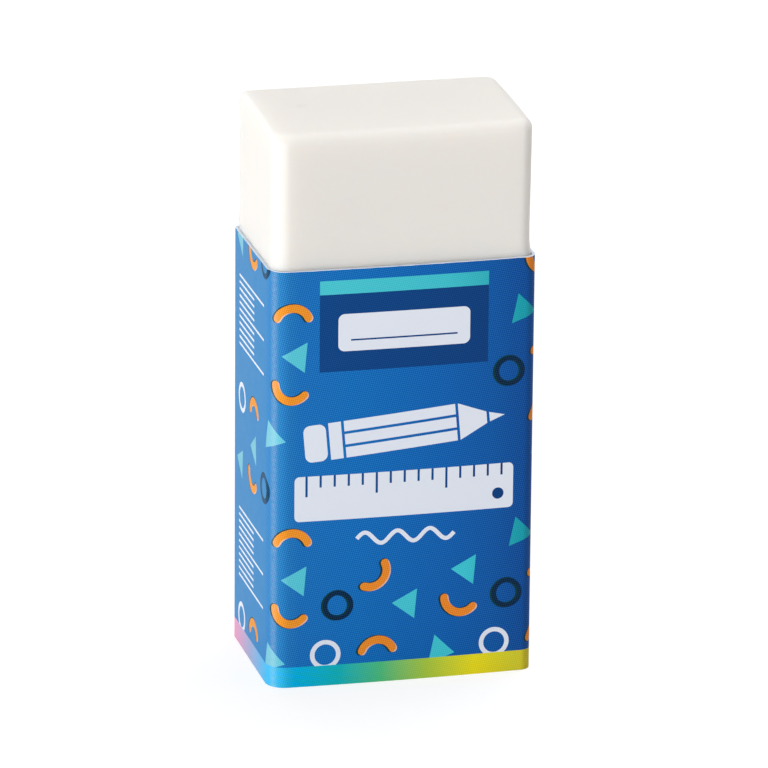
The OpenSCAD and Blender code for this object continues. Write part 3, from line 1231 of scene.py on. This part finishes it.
@dataclass
class CardSleeve:
    """The sleeve: one printed sheet of card, folded into an open tube round the block.

    Attributes:
        size: Its sizes.
        pattern: The confetti.
        art: The label and the signs.
        screen: The dots of the print.
        band_height: Height of the band round the foot, in millimetres.
        bleed: How far the print runs on over the glue flap, in millimetres.
        chip: Mean width of the strip along a cut edge where the ink has come off, in millimetres.
        fold_steps: Steps that a fold is drawn with.
        flat_step: Widest step on the flats, in millimetres.
    """

    size: SleeveSize
    pattern: ConfettiPattern = field(default_factory=ConfettiPattern)
    art: PanelArt = field(default_factory=PanelArt)
    screen: DotScreen = field(default_factory=DotScreen)
    band_height: float = 1.5
    bleed: float = 1.5
    chip: float = 0.03
    fold_steps: int = 18
    flat_step: float = 0.8

    UV_MAP = "Sheet"
    INK = "ink"

    def span(self) -> tuple[float, float, float]:
        """Start and end of the sheet along s, and its height, in millimetres."""
        return self.size.flap_end / MM, self.size.seam_end / MM, self.size.height / MM

    def columns(self) -> list[float]:
        """Places along the sheet where it is divided: evenly on the flats, closely in the folds."""
        ends = [c.side * x / MM for c in self.size.creases.values() for x in (c.start, c.end)]
        edges = sorted([*self.span()[:2], *ends])
        places = []
        for i, (start, end) in enumerate(zip(edges, edges[1:])):
            is_fold = i % 2 == 1
            steps = self.fold_steps if is_fold else math.ceil((end - start) / self.flat_step)
            places += [start + (end - start) * k / steps for k in range(steps)]
        return places[1:]

    def chipped_edge(self) -> Outline:
        """The strip along the upper edge where the ink has chipped off, with its uneven lower edge."""
        start, end, height = self.span()
        step = 0.12
        count = math.ceil((end - start) / step)
        lower = []
        for i in range(count + 1):
            s = start + (end - start) * i / count
            paling = 0.55 * noise.noise(Vector((s * 1.3, 0, 0))) + 0.35 * noise.noise(Vector((s * 6.0, 4, 0)))
            lower.append((s, height - self.chip * (1 + paling)))
        return lower + [(end, height), (start, height)]

    def flat_sheet(self) -> FlatSheet:
        """Lays out the sheet with its print."""
        start, end, height = self.span()
        flap_fold = -self.size.left_back.end / MM
        seam_chip = 0.05
        sheet = FlatSheet()
        sheet.add(Layer.SHEET, rectangle(start, 0, end, height))
        sheet.add(Layer.GROUND, rectangle(flap_fold - self.bleed, 0, end - seam_chip, height))
        sheet.add(Layer.FOOT_BAND, rectangle(start, 0, end, self.band_height))
        sheet.add(Layer.CHIPPED_EDGE, self.chipped_edge())
        for layer, outline in self.art.patches() + self.pattern.patches(self.span()):
            sheet.add(layer, outline)
        for s in self.columns():
            sheet.add_line((s, 0), (s, height))
        row_height = 2
        rows = math.ceil(height / row_height)
        for i in range(1, rows):
            sheet.add_line((start, height * i / rows), (end, height * i / rows))
        return sheet

    def blank(self) -> Mesh:
        """Makes the flat sheet as a closed solid: printed face, bare inner face and cut edges."""
        points, faces, inks = self.flat_sheet().cut()
        count = len(points)
        depth = -(self.size.card - self.size.glue)
        edges = dict.fromkeys((a, b) for face in faces for a, b in zip(face, face[1:] + face[:1]))
        rim = [(a, b) for a, b in edges if (b, a) not in edges]
        solid = list(faces)
        solid += [tuple(i + count for i in reversed(face)) for face in faces]
        solid += [(b, a, a + count, b + count) for a, b in rim]
        places = [(s * MM, z * MM, y) for y in (0.0, depth) for s, z in points]
        mesh = new_mesh("sheet_blank", places, solid)
        shown = inks + [Ink.BARE_BOARD] * len(faces) + [Ink.CUT_EDGE] * len(rim)
        add_numbers(mesh, self.INK, [ink.value for ink in shown], "INT", "FACE")
        self.map_sheet(mesh, count)
        return mesh

    def map_sheet(self, mesh: Mesh, printed: int) -> None:
        """Gives the sheet its own map, in lengths of the sheet, with the inner face above the printed one.

        Args:
            mesh: The flat sheet.
            printed: How many of its points, the first ones, are on the printed face.
        """
        start, end, _ = self.span()
        length = (end - start) * MM
        layer = mesh.uv_layers.new(name=self.UV_MAP)
        for loop in mesh.loops:
            place = mesh.vertices[loop.vertex_index].co
            rise = 0.0 if loop.vertex_index < printed else 0.5
            layer.data[loop.index].uv = ((place.x - start * MM) / length, place.y / length + rise)

    def crease_tree(self) -> Tree:
        """Builds the group that folds everything past a crease round by a right angle.

        It takes and gives the place across the sheet and the depth above its printed face.
        """
        group = bpy.data.node_groups.new("crease", "GeometryNodeTree")
        for name in ("Across", "Depth", "Start", "Radius", "Side"):
            group.interface.new_socket(name, in_out="INPUT", socket_type="NodeSocketFloat")
        for name in ("Across", "Depth"):
            group.interface.new_socket(name, in_out="OUTPUT", socket_type="NodeSocketFloat")
        entry, leave = group.nodes.new("NodeGroupInput"), group.nodes.new("NodeGroupOutput")
        across, depth, start, radius, side = entry.outputs[:5]

        def sum_of(operation: str, *values: object) -> Socket:
            """Adds a Math node to the group."""
            return math_node(group, operation, *values)

        past = sum_of("SUBTRACT", sum_of("MULTIPLY", across, side), start)
        angle = sum_of("MINIMUM", sum_of("MAXIMUM", sum_of("DIVIDE", past, radius), 0), math.pi / 2)
        rest = sum_of("MAXIMUM", sum_of("SUBTRACT", past, sum_of("MULTIPLY", radius, math.pi / 2)), 0)
        reach = sum_of("ADD", radius, depth)
        sine, cosine = sum_of("SINE", angle), sum_of("COSINE", angle)
        near = sum_of("ADD", start, sum_of("MINIMUM", past, 0))
        new_across = sum_of("MULTIPLY_ADD", reach, sine, near)
        bent_depth = sum_of("SUBTRACT", sum_of("MULTIPLY", reach, cosine), radius)
        new_depth = sum_of("SUBTRACT", bent_depth, sum_of("MULTIPLY", rest, sine))
        group.links.new(sum_of("MULTIPLY", new_across, side), leave.inputs["Across"])
        group.links.new(new_depth, leave.inputs["Depth"])
        return group

    def fold_tree(self, materials: Sequence[Material]) -> GeometryTree:
        """Builds the tree that folds the sheet at its four creases and bows its broad panels."""
        tree = GeometryTree("fold_sleeve")
        sheet = tree.entry.outputs["Geometry"]
        crease = self.crease_tree()
        names = ("Panel Half Width", "Half Depth", "Bow")
        half_width, half_depth, bow = (tree.add_input(name) for name in names)
        place = tree.node("ShaderNodeSeparateXYZ", {0: tree.node("GeometryNodeInputPosition").outputs[0]})
        across, height, depth = place.outputs
        for name, fold in self.size.creases.items():
            start, radius = tree.add_input(f"{name} Start"), tree.add_input(f"{name} Radius")
            inputs = {"Across": across, "Depth": depth, "Start": start, "Radius": radius, "Side": fold.side}
            bent = tree.node("GeometryNodeGroup", inputs, node_tree=crease)
            across, depth = bent.outputs["Across"], bent.outputs["Depth"]
        y = tree.math("SUBTRACT", tree.math("MULTIPLY", half_depth, -1), depth)
        share = tree.math("POWER", tree.math("DIVIDE", across, half_width), 2)
        rise = tree.math("MULTIPLY", bow, tree.math("MAXIMUM", tree.math("SUBTRACT", 1, share), 0))
        bowed = tree.math("MULTIPLY_ADD", tree.math("SIGN", y), rise, y)
        position = tree.node("ShaderNodeCombineXYZ", {"X": across, "Y": bowed, "Z": height}).outputs[0]
        folded = tree.node("GeometryNodeSetPosition", {"Geometry": sheet, "Position": position}).outputs[0]
        sharp_angle = math.radians(50)
        angle = tree.node("GeometryNodeInputMeshEdgeAngle").outputs[0]
        is_sharp = tree.math("GREATER_THAN", angle, sharp_angle)
        inputs = {"Geometry": folded, "Shade Smooth": True}
        smooth = tree.node("GeometryNodeSetShadeSmooth", inputs, domain="FACE")
        inputs = {"Geometry": smooth.outputs[0], "Selection": is_sharp, "Shade Smooth": False}
        smooth = tree.node("GeometryNodeSetShadeSmooth", inputs, domain="EDGE")
        tree.close(smooth.outputs[0], self.INK, materials)
        return tree

    def build(self, materials: Sequence[Material]) -> bpy.types.Object:
        """Makes the sleeve.

        Args:
            materials: A material for each ink, by its number.

        Returns:
            The sleeve, at the origin of the frame.
        """
        size = self.size
        values = {"Panel Half Width": size.panel_half_width, "Half Depth": size.half_depth, "Bow": size.bow}
        for name, fold in size.creases.items():
            values |= {f"{name} Start": fold.start, f"{name} Radius": fold.radius}
        mesh = self.fold_tree(materials).run(self.blank(), values)
        mesh.name = "printed_sleeve"
        return new_object("printed_sleeve", mesh)


@dataclass(frozen=True)
class Sides:
    """A length for each side of the block, in metres. Cut and tumbled sides are never quite alike."""

    front: float
    back: float
    left: float
    right: float

    def largest(self) -> float:
        """The largest of the four."""
        return max(self.front, self.back, self.left, self.right)


@dataclass
class VinylBlock:
    """The moulded block: soft edges, a slightly uneven skin, and a top that falls towards the front.

    Attributes:
        low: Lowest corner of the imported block.
        high: Its highest corner.
        long_radii: Radii of the long edges: front left, front right, back right, back left.
        top_drop: How far below the top the rounding of each edge starts.
        top_reach: How far that rounding runs in over the top.
        front_fall: How much lower the top lies along its front edge than along its back edge.
        right_rise: How much less it falls at its right end.
        foot_radii: Radii of the edges round the foot.
        bare_from: Height of the sleeve's upper edge.
        bulge: How far each side swells out just above that edge, where the block leans on a panel.
        bulge_reach: Height over which it swells.
        waist: How far each side is drawn in above the sleeve, less and less towards the top.
        skin: Depth of the unevenness of the faces.
        corner_steps: Steps round a long edge.
        face_step: Widest step across a face.
    """

    low: Vector
    high: Vector
    long_radii: tuple[float, float, float, float] = (1.2 * MM, 0.85 * MM, 0.9 * MM, 0.45 * MM)
    top_drop: Sides = Sides(front=0.75 * MM, back=1.0 * MM, left=0.25 * MM, right=0.7 * MM)
    top_reach: Sides = Sides(front=0.9 * MM, back=1.0 * MM, left=0.35 * MM, right=0.85 * MM)
    front_fall: float = 0.6 * MM
    right_rise: float = 0.25 * MM
    foot_radii: Sides = Sides(front=1.1 * MM, back=1.1 * MM, left=1.1 * MM, right=1.1 * MM)
    bare_from: float = 30.5 * MM
    bulge: Sides = Sides(front=0.035 * MM, back=0.0, left=0.035 * MM, right=0.0)
    bulge_reach: float = 0.7 * MM
    waist: Sides = Sides(front=0.03 * MM, back=0.03 * MM, left=0.02 * MM, right=0.12 * MM)
    skin: float = 0.03 * MM
    corner_steps: int = 14
    face_step: float = 0.9 * MM

    def section(
        self, left: float, right: float, front: float, back: float, shrinks: Sequence[float]
    ) -> list[Point]:
        """A level section of the block: a rectangle with round corners.

        Args:
            left: Its least x.
            right: Its greatest x.
            front: Its least y.
            back: Its greatest y.
            shrinks: How much smaller each corner is than the long edge that it belongs to.

        Returns:
            Its points, anticlockwise, as many in every section.
        """
        least = 0.02 * MM
        radii = [max(r - shrink, least) for r, shrink in zip(self.long_radii, shrinks)]
        centres = [
            (left + radii[0], front + radii[0]),
            (right - radii[1], front + radii[1]),
            (right - radii[2], back - radii[2]),
            (left + radii[3], back - radii[3]),
        ]
        wide = self.high - self.low
        faces = [math.ceil(side / self.face_step) for side in (wide.x, wide.y, wide.x, wide.y)]
        points = []
        for i in range(4):
            corner = arc_points(centres[i], radii[i], 180 + 90 * i, 90, self.corner_steps)
            after = (i + 1) % 4
            start = corner[-1]
            end = arc_points(centres[after], radii[after], 180 + 90 * after, 0, 1)[0]
            points += corner
            for k in range(1, faces[i]):
                t = k / faces[i]
                points.append((start[0] + (end[0] - start[0]) * t, start[1] + (end[1] - start[1]) * t))
        return points

    def level(
        self, height: float, inset: Callable[[float, float], float], drops: Sides, reaches: Sides
    ) -> list[Vector]:
        """The section at a height near an end.

        Args:
            height: The height.
            inset: How far a face has turned in there, for the drop and the reach of its edge.
            drops: Drops of the edges round that end.
            reaches: Their reaches.

        Returns:
            The points of the section.
        """
        swelling = math.exp(-((height - self.bare_from) / self.bulge_reach) ** 2)
        narrowing = 0.0
        if height > self.bare_from:
            narrowing = (1 - swelling) * (self.high.z - height) / (self.high.z - self.bare_from)

        def rounded(side: str) -> float:
            """How far a side has turned in."""
            return inset(getattr(drops, side), getattr(reaches, side))

        def drawn_in(side: str) -> float:
            """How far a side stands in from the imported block's."""
            waist, bulge = getattr(self.waist, side), getattr(self.bulge, side)
            return waist * narrowing - bulge * swelling + rounded(side)

        corners = (("left", "front"), ("front", "right"), ("right", "back"), ("back", "left"))
        outline = self.section(
            self.low.x + drawn_in("left"),
            self.high.x - drawn_in("right"),
            self.low.y + drawn_in("front"),
            self.high.y - drawn_in("back"),
            [self.shrink(rounded(first), rounded(second)) for first, second in corners],
        )
        return [Vector((x, y, height)) for x, y in outline]

    def shrink(self, first: float, second: float) -> float:
        """How much smaller a corner is where its sides have turned in. It grows if one turns in much more."""
        growth = 0.5
        return min(first, second) - growth * abs(first - second)

    def levels(self) -> list[list[Vector]]:
        """All sections from the middle of the foot to the middle of the top."""
        end_steps, cap_steps, crowding = 14, 10, 0.9
        largest = max(self.top_drop.largest(), self.foot_radii.largest())
        depths = [largest * (1 - math.cos(math.pi / 2 * i / end_steps)) for i in range(end_steps + 1)]

        def rounding(depth: float) -> Callable[[float, float], float]:
            """How far a face has turned in at a given depth below the end, along a quarter of an ellipse."""
            return lambda drop, reach: reach * (1 - math.sqrt(1 - max(1 - depth / drop, 0) ** 2))

        found = [self.level(self.low.z + d, rounding(d), self.foot_radii, self.foot_radii) for d in depths]
        straight = self.high.z - self.low.z - 2 * largest
        steps = math.ceil(straight / self.face_step)
        for i in range(1, steps):
            height = self.low.z + largest + straight * i / steps
            found.append(self.level(height, rounding(largest), self.top_drop, self.top_reach))
        for d in reversed(depths):
            found.append(self.level(self.high.z - d, rounding(d), self.top_drop, self.top_reach))
        foot, top = found[0], found[-1]
        caps = [1 - (i / cap_steps) ** crowding for i in range(1, cap_steps)]
        return [self.shrunk(foot, c) for c in reversed(caps)] + found + [self.shrunk(top, c) for c in caps]

    def shrunk(self, outline: list[Vector], share: float) -> list[Vector]:
        """A flat outline drawn in towards its middle, along the longer side less than along the shorter."""
        middle = sum(outline, Vector()) / len(outline)
        reach_x = (self.high.x - self.low.x) / 2
        reach_y = (self.high.y - self.low.y) / 2
        gone = (1 - share) * reach_y
        shares = ((reach_x - gone) / reach_x, (reach_y - gone) / reach_y)
        return [
            Vector((middle.x + (p.x - middle.x) * shares[0], middle.y + (p.y - middle.y) * shares[1], p.z))
            for p in outline
        ]

    def fallen(self, point: Vector) -> Vector:
        """A point of the block, lower towards the front where it is near the top.

        Args:
            point: Its place in a block with a level top.

        Returns:
            Its place in the block.
        """
        forward = (self.high.y - point.y) / (self.high.y - self.low.y)
        bare = max(0.0, (point.z - self.bare_from) / (self.high.z - self.bare_from))
        rightward = max(0.0, point.x / self.high.x)
        fall = self.front_fall - self.right_rise * rightward ** 2
        return Vector((point.x, point.y, point.z - fall * forward ** 2 * bare))

    def uneven(self, mesh: Mesh) -> None:
        """Draws the skin in a little, in soft hollows."""
        hollow_scale = 190.0
        normals = [vertex.normal.copy() for vertex in mesh.vertices]
        for vertex, normal in zip(mesh.vertices, normals):
            depth = 0.5 + 0.5 * noise.noise(vertex.co * hollow_scale)
            vertex.co -= normal * self.skin * depth

    def build(self, material: Material) -> bpy.types.Object:
        """Makes the block.

        Args:
            material: Its finish.

        Returns:
            The block, at the origin of the frame.
        """
        levels = self.levels()
        around = len(levels[0])
        points = [self.fallen(p) for level in levels for p in level]
        faces = []
        for k in range(len(levels) - 1):
            for i in range(around):
                a, b = k * around + i, k * around + (i + 1) % around
                faces.append((a, b, b + around, a + around))
        last = len(levels) - 1
        faces.append(tuple(reversed(range(around))))
        faces.append(tuple(last * around + i for i in range(around)))
        mesh = new_mesh("vinyl_block", points, faces)
        mesh.materials.append(material)
        mesh.polygons.foreach_set("use_smooth", [True] * len(mesh.polygons))
        self.uneven(mesh)
        return new_object("vinyl_block", mesh)


@dataclass(frozen=True)
class SoftLamp:
    """A large soft lamp, far away.

    Attributes:
        name: Its name.
        direction: Where its light comes from.
        strength: Its strength.
        angle: How large it looks, in degrees. The larger, the softer its shadows.
    """

    name: str
    direction: tuple[float, float, float]
    strength: float
    angle: float

    def build(self) -> None:
        """Makes the lamp."""
        light = bpy.data.lights.new(self.name, "SUN")
        light.energy = self.strength
        light.angle = math.radians(self.angle)
        lamp = new_object(self.name, light)
        lamp.rotation_euler = Vector(self.direction).to_track_quat("Z", "Y").to_euler()


@dataclass(frozen=True)
class Studio:
    """Floor, light and camera.

    Attributes:
        floor_reach: Half the side of the floor, in metres.
        floor_bounce: Share of the light that the floor sends back to the object.
        world_level: Strength of the even light from all sides.
        lamps: The large soft lamps.
    """

    floor_reach: float = 3.0
    floor_bounce: float = 0.7
    world_level: float = 0.36
    lamps: tuple[SoftLamp, ...] = (
        SoftLamp(name="side_window", direction=(-0.72, -0.435, 0.05), strength=3.66, angle=25.0),
        SoftLamp(name="top_panel", direction=(0.15, 0.20, 0.45), strength=1.88, angle=60.0),
    )

    def build_world(self) -> None:
        """Makes the even light. The camera sees white instead."""
        world = bpy.data.worlds.new("studio")
        bpy.context.scene.world = world
        tree = emptied_tree(world)
        even, white = (
            add_node(tree, "ShaderNodeBackground", {"Color": grey(level), "Strength": 1.0})
            for level in (self.world_level, 1.0)
        )
        seen = add_node(tree, "ShaderNodeLightPath").outputs["Is Camera Ray"]
        mixed = add_node(tree, "ShaderNodeMixShader", {0: seen, 1: even.outputs[0], 2: white.outputs[0]})
        add_node(tree, "ShaderNodeOutputWorld", {"Surface": mixed.outputs[0]})

    def build_floor(self) -> bpy.types.Object:
        """Makes the pale floor. To the camera it is nearly white, and still takes the shadow."""
        reach = self.floor_reach
        corners = [(-reach, -reach, 0), (reach, -reach, 0), (reach, reach, 0), (-reach, reach, 0)]
        floor = new_object("floor", new_mesh("floor", corners, [(0, 1, 2, 3)]))
        material = bpy.data.materials.new("pale_floor")
        tree = emptied_tree(material)
        seen_share, glow = 0.3, 0.79
        plain, seen = (
            add_node(tree, "ShaderNodeBsdfDiffuse", {"Color": grey(level)})
            for level in (self.floor_bounce, seen_share)
        )
        light = add_node(tree, "ShaderNodeEmission", {"Color": grey(glow)})
        bright = add_node(tree, "ShaderNodeAddShader", {0: seen.outputs[0], 1: light.outputs[0]})
        ray = add_node(tree, "ShaderNodeLightPath").outputs["Is Camera Ray"]
        mixed = add_node(tree, "ShaderNodeMixShader", {0: ray, 1: plain.outputs[0], 2: bright.outputs[0]})
        add_node(tree, "ShaderNodeOutputMaterial", {"Surface": mixed.outputs[0]})
        floor.data.materials.append(material)
        return floor

    def build_lamps(self) -> None:
        """Makes the lamps."""
        for lamp in self.lamps:
            lamp.build()


@dataclass(frozen=True)
class Camera:
    """The camera, at the photograph's angle.

    Attributes:
        azimuth: Turn round the object, in degrees, negative towards its left side.
        elevation: Angle above the horizon.
        roll: Turn about the line of sight.
        distance: From the aim, in metres.
        aim_height: Height on the object's axis that the aim is measured from.
        aim_right: How far to the right of the axis the camera aims.
        aim_up: How far above that height it aims.
        lens: Focal length in millimetres, for a sensor 36 mm wide.
    """

    azimuth: float = -13.93
    elevation: float = 18.116
    roll: float = 0.5035
    distance: float = 518.4 * MM
    aim_height: float = 21.5 * MM
    aim_right: float = 0.048 * MM
    aim_up: float = -1.482 * MM
    lens: float = 346.36

    def build(self) -> None:
        """Makes the camera and sets it as the scene's."""
        a, e, turn = (math.radians(x) for x in (self.azimuth, self.elevation, self.roll))
        back = Vector((math.sin(a) * math.cos(e), -math.cos(a) * math.cos(e), math.sin(e)))
        level = Vector((math.cos(a), math.sin(a), 0))
        rise = back.cross(level)
        right = level * math.cos(turn) + rise * math.sin(turn)
        up = rise * math.cos(turn) - level * math.sin(turn)
        aim = right * self.aim_right + up * self.aim_up + Vector((0, 0, self.aim_height))
        data = bpy.data.cameras.new("camera")
        data.lens = self.lens
        data.sensor_width = 36.0
        data.clip_start = 0.01
        camera = new_object("camera", data)
        axes = Matrix((right, up, back)).transposed().to_4x4()
        camera.matrix_world = Matrix.Translation(aim + back * self.distance) @ axes
        bpy.context.scene.camera = camera


INKS = {
    Ink.BLUE_GROUND: InkFinish(
        name="blue_ground",
        # Printed ground with painted light on it: lighter over the left panel and the fold beside it, where
        # the left lamp falls and the varnish shines; towards the right fold it darkens, partly as printed and
        # partly as painted shade.
        stops=(
            (-20.0, (0.042, 0.236, 0.518)),
            (-10.4, (0.022, 0.228, 0.530)),
            (-10.0, (0.042, 0.222, 0.530)),
            (-9.2, (0.020, 0.212, 0.490)),
            (-8.2, (0.011, 0.180, 0.500)),
            (-7.4, (0.005, 0.155, 0.490)),
            (-3.5, (0.001, 0.150, 0.490)),
            (3.0, (0.000, 0.115, 0.430)),
            (6.5, (0.000, 0.093, 0.365)),
            (8.6, (0.000, 0.070, 0.305)),
            (15.0, (0.000, 0.100, 0.400)),
            (30.0, (0.001, 0.140, 0.480)),
        ),
        contrast=(0.0, 0.3, 0.1),
        gaps=0.027,
    ),
    Ink.DEEP_BLUE: InkFinish(
        name="deep_blue",
        stops=((-6.0, (0.001, 0.057, 0.235)), (6.0, (0.001, 0.047, 0.200))),
        contrast=(0.0, 0.15, 0.1),
        gaps=0.012,
    ),
    Ink.TURQUOISE: InkFinish(
        name="turquoise",
        # Painted shade: the turquoise darkens towards the right fold.
        stops=(
            (-20.0, (0.065, 0.580, 0.640)),
            (-5.0, (0.065, 0.560, 0.640)),
            (3.0, (0.050, 0.525, 0.610)),
            (8.5, (0.012, 0.360, 0.430)),
            (20.0, (0.045, 0.500, 0.580)),
        ),
        contrast=(0.3, 0.06, 0.05),
        gaps=0.02,
    ),
    Ink.AQUA: InkFinish(
        name="aqua",
        # Painted highlight and shade: the triangles are paler on the fold beside the left panel and darker
        # towards the right fold.
        stops=(
            (-9.6, (0.190, 0.520, 0.640)),
            (-8.0, (0.095, 0.560, 0.670)),
            (0.4, (0.058, 0.560, 0.660)),
            (4.6, (0.045, 0.560, 0.650)),
            (8.5, (0.006, 0.330, 0.400)),
            (15.0, (0.045, 0.500, 0.600)),
        ),
        contrast=(0.3, 0.08, 0.06),
        gaps=0.02,
    ),
    Ink.ORANGE: InkFinish(
        name="orange",
        stops=((-11.0, (0.85, 0.31, 0.030)), (-6.0, (0.84, 0.28, 0.024)), (0.0, (0.82, 0.245, 0.026))),
        contrast=(0.08, 0.32, 0.55),
    ),
    Ink.PINK_FRINGE: InkFinish(
        name="pink_fringe",
        stops=((0.0, (0.84, 0.50, 0.36)),),
    ),
    Ink.GREEN_FRINGE: InkFinish(
        name="green_fringe",
        stops=((0.0, (0.004, 0.045, 0.045)),),
        contrast=(0.3, 0.5, 0.5),
    ),
    Ink.NEAR_BLACK: InkFinish(
        name="near_black",
        # Painted light: the rings are lighter over the left panel and the fold beside it, where the left lamp
        # falls.
        stops=((-12.0, (0.003, 0.085, 0.200)), (-8.0, (0.001, 0.022, 0.065)), (8.0, (0.001, 0.022, 0.062))),
        contrast=(0.8, 0.9, 0.9),
        gaps=0.01,
    ),
    Ink.UNPRINTED: InkFinish(
        name="unprinted_white",
        stops=((0.0, (0.76, 0.80, 0.885)),),
        contrast=(0.015, 0.015, 0.0),
    ),
    Ink.FOOT_BAND: InkFinish(
        name="foot_band",
        stops=(
            (-20.0, (0.78, 0.33, 0.52)),
            (-15.0, (0.37, 0.42, 0.64)),
            (-10.5, (0.09, 0.50, 0.85)),
            (-7.7, (0.001, 0.45, 0.75)),
            (-4.5, (0.006, 0.46, 0.50)),
            (-1.5, (0.08, 0.53, 0.22)),
            (1.7, (0.40, 0.60, 0.060)),
            (5.3, (0.86, 0.75, 0.014)),
            (8.2, (0.64, 0.60, 0.030)),
            (15.0, (0.85, 0.35, 0.02)),
            (25.0, (0.80, 0.12, 0.16)),
            (38.0, (0.76, 0.20, 0.44)),
        ),
        contrast=(0.12, 0.08, 0.25),
    ),
}


def dress_sleeve(sleeve: CardSleeve) -> list[Material]:
    """Makes a material for each ink, by its number."""
    boards = {
        Ink.BARE_BOARD: BoardFinish(),
        Ink.CUT_EDGE: BoardFinish(name="cut_edge", colour=(0.66, 0.77, 0.90)),
    }
    size, screen = sleeve.size, sleeve.screen
    return [boards[ink].material() if ink in boards else INKS[ink].material(size, screen) for ink in Ink]


def report(piece: bpy.types.Object) -> None:
    """Logs a piece with its number of faces."""
    LOG.info("%s: %d faces", piece.name, len(piece.data.polygons))


def main() -> None:
    """Builds the block, the sleeve and the studio, in that order."""
    logging.basicConfig(level=logging.INFO, format="%(name)s %(message)s")
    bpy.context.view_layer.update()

    block = VinylBlock(*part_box("eraser_block")).build(VinylFinish().material())
    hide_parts("eraser_block")
    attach(block, "block")
    report(block)

    card = CardSleeve(SleeveSize.from_node("card_sleeve"))
    sleeve = card.build(dress_sleeve(card))
    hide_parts("card_sleeve")
    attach(sleeve, "sleeve")
    report(sleeve)

    studio = Studio()
    studio.build_world()
    studio.build_lamps()
    studio.build_floor()
    Camera().build()
    bpy.context.scene.view_settings.view_transform = "Standard"


if __name__ == "__main__":
    main()
